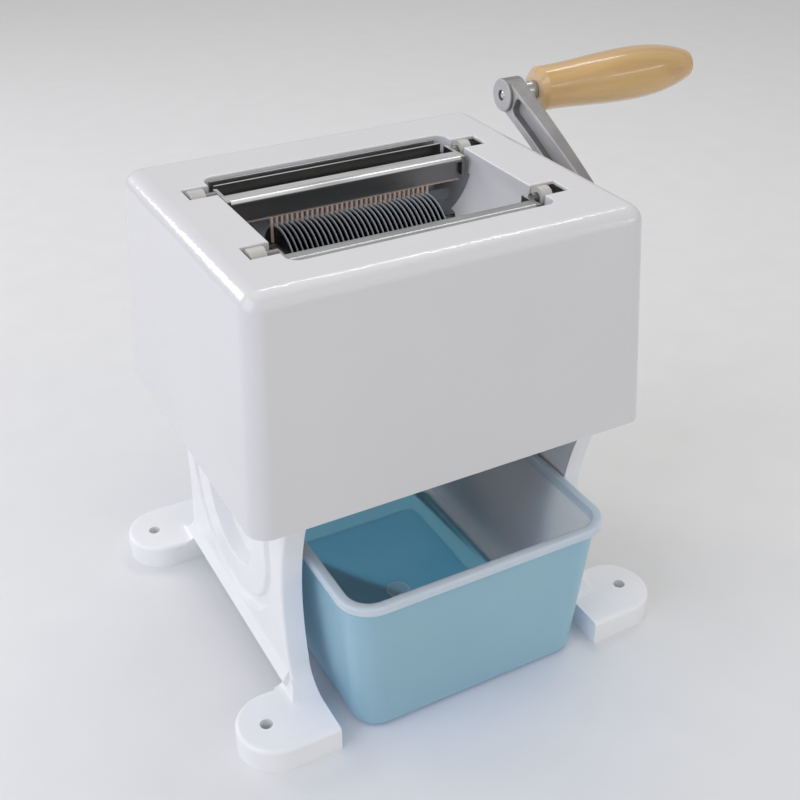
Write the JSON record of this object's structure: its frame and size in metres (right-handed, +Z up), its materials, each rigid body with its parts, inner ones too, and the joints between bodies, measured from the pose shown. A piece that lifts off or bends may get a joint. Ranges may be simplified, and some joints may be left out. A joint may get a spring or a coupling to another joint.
{
  "type": "hand-cranked meat slicer",
  "caption": "Countertop jerky slicer: white hood on two cast end frames with screw-down feet, two rollers of round blades between combs, a curved crank with a wooden grip, and a catch tray.",
  "frame": {"origin": "on the table, in the middle of the four foot holes", "axes": "+X towards the crank, -Y towards the front, +Z up"},
  "size_m": [0.3716, 0.2198, 0.2646],
  "materials": {
    "hood_white": "glossy",
    "frame_white": "glossy paint on an aluminium casting",
    "steel": "satin",
    "blade_steel": "dark, with bright cutting edges",
    "polished_steel": "polished",
    "bronze": "satin",
    "nylon": "matte",
    "cast_aluminium": "satin casting",
    "wood": "lacquered",
    "tray_plastic": "translucent, slightly blue"
  },
  "bodies": {
    "stand": {"hood": "hood_white", "hood_screws": "steel", "left_end_frame": "frame_white", "right_end_frame": "frame_white", "tie_rods": "steel", "tie_rod_nuts": "steel", "bearing_bushes": "bronze"},
    "front_roller": {"front_arbor": "steel", "front_blades": "blade_steel", "front_pack_collars": "steel", "drive_gear": "steel", "drive_gear_nut": "steel", "crank_arm": "cast_aluminium", "crank_stub": "steel", "crank_washer": "steel", "crank_nut": "polished_steel", "handle_spindle": "steel", "handle_washer": "steel", "handle_ferrule": "steel"},
    "rear_roller": {"rear_arbor": "steel", "rear_blades": "blade_steel", "rear_pack_collars": "steel", "driven_gear": "steel", "rear_arbor_nuts": "steel"},
    "grip": {"wooden_handle": "wood"},
    "rear_comb": {"rear_comb_sheet": "polished_steel", "rear_comb_back": "polished_steel", "rear_comb_ends": "polished_steel", "rear_comb_pins": "nylon", "rear_comb_rod": "steel"},
    "front_comb": {"front_comb_sheet": "polished_steel", "front_comb_ends": "polished_steel", "front_comb_pins": "nylon", "front_comb_rod": "steel"},
    "tray": {"catch_tray": "tray_plastic"}
  },
  "joints": [
    {"name": "crank_turn", "type": "hinge", "parent": "stand", "child": "front_roller", "pos_m": [0, -0.0244, 0.2024], "axis": [1, 0, 0], "continuous": true},
    {"name": "rear_roller_turn", "type": "hinge", "parent": "stand", "child": "rear_roller", "pos_m": [0, 0.0162, 0.2024], "axis": [1, 0, 0], "continuous": true},
    {"name": "grip_turn", "type": "hinge", "parent": "front_roller", "child": "grip", "pos_m": [0.1385, 0.0705, 0.2493], "axis": [1, 0, 0], "continuous": true},
    {"name": "rear_comb_lift", "type": "slide", "parent": "stand", "child": "rear_comb", "axis": [0, 0, 1], "range_m": [0, 0.04]},
    {"name": "front_comb_lift", "type": "slide", "parent": "stand", "child": "front_comb", "axis": [0, 0, 1], "range_m": [0, 0.045]},
    {"name": "tray_slide", "type": "slide", "parent": "stand", "child": "tray", "axis": [0, -1, 0], "range_m": [0, 0.2]}
  ],
  "couplings": [
    {"joint": "rear_roller_turn", "follows": "crank_turn", "ratio": -1}
  ]
}
